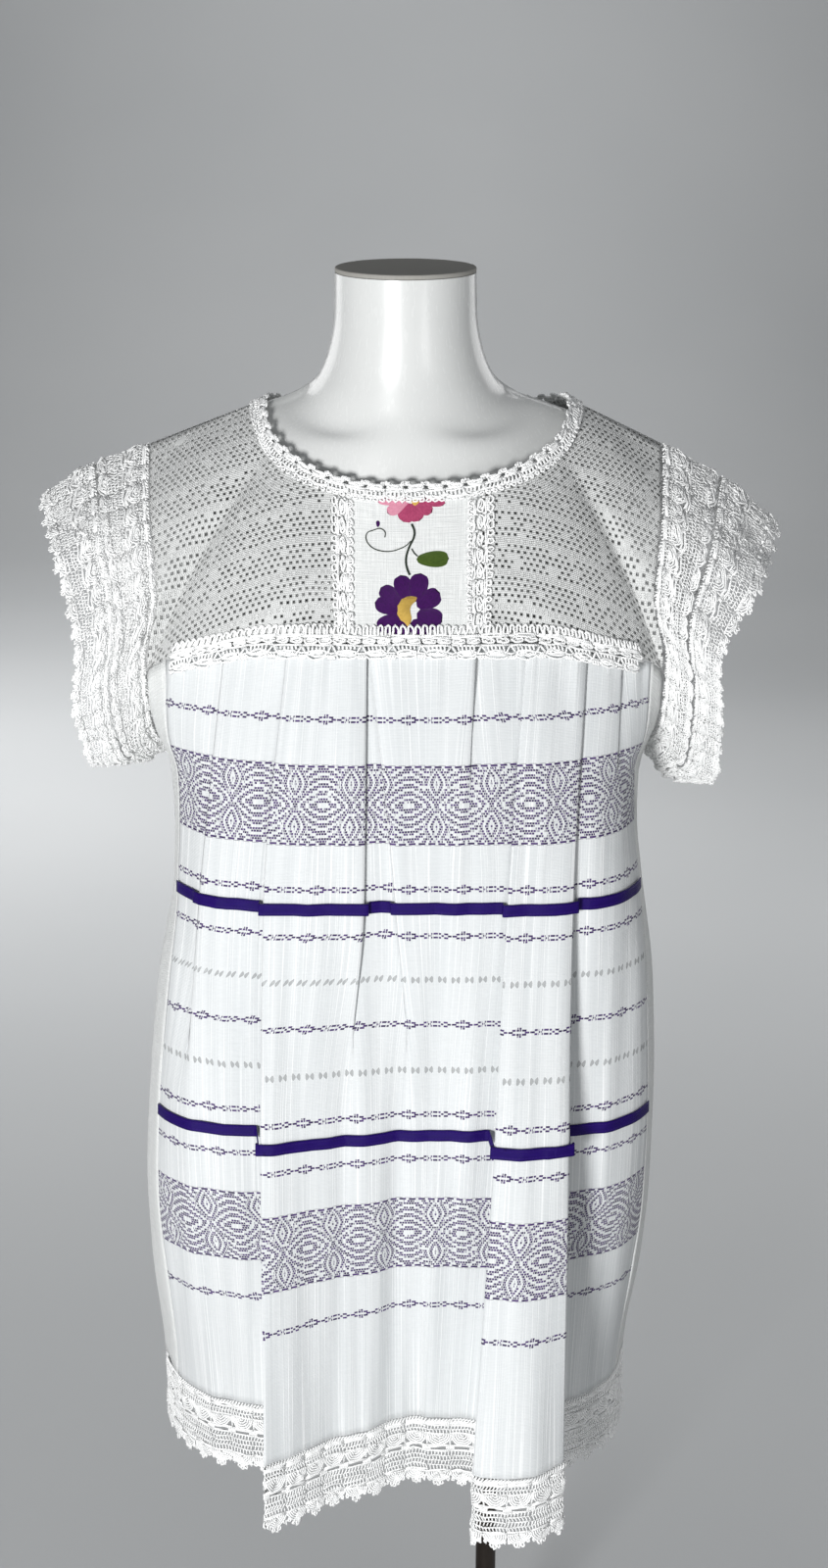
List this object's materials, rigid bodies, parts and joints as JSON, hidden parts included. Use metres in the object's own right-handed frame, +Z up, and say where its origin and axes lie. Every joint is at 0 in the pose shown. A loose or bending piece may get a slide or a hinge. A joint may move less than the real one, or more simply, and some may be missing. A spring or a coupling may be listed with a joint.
{
  "type": "huipil blouse on dress form",
  "caption": "Pleated short-sleeved huipil blouse of striped gauze with lace yoke, sleeves and hem, worn by a limbless dress form on a pole and round base.",
  "frame": {"origin": "on the floor, under the middle of the round base", "axes": "+Z up, -Y towards the front of the blouse, +X to the left-hand sleeve of a wearer"},
  "size_m": [0.5697, 0.4362, 1.28],
  "materials": {
    "white_form": "smooth gloss",
    "grey_cap": "brushed, satin",
    "dark_steel": "dark satin paint",
    "gauze": "thin cotton gauze with woven and brocaded rows",
    "crochet": "crochet net and lace of cotton thread",
    "plain_cloth": "plain cotton",
    "satin_ribbon": "satin"
  },
  "bodies": {
    "root": {"dress_form": "white_form", "neck_cap": "grey_cap", "stand_pole": "dark_steel", "stand_base": "dark_steel", "yoke_front_left": "crochet", "yoke_front_right": "crochet", "yoke_back": "crochet", "placket": "plain_cloth", "neck_trim": "crochet", "placket_trim_left": "crochet", "placket_trim_right": "crochet", "yoke_trim_front": "crochet", "yoke_trim_back": "crochet", "front_panel": "gauze", "back_panel": "gauze", "side_panel_left": "plain_cloth", "side_panel_right": "plain_cloth", "ribbon_upper_front": "satin_ribbon", "ribbon_lower_front": "satin_ribbon", "ribbon_upper_back": "satin_ribbon", "ribbon_lower_back": "satin_ribbon", "hem_lace_front": "crochet", "hem_lace_back": "crochet", "sleeve_lace_inner_left": "crochet", "sleeve_lace_outer_left": "crochet", "sleeve_lace_inner_right": "crochet", "sleeve_lace_outer_right": "crochet"}
  },
  "joints": []
}
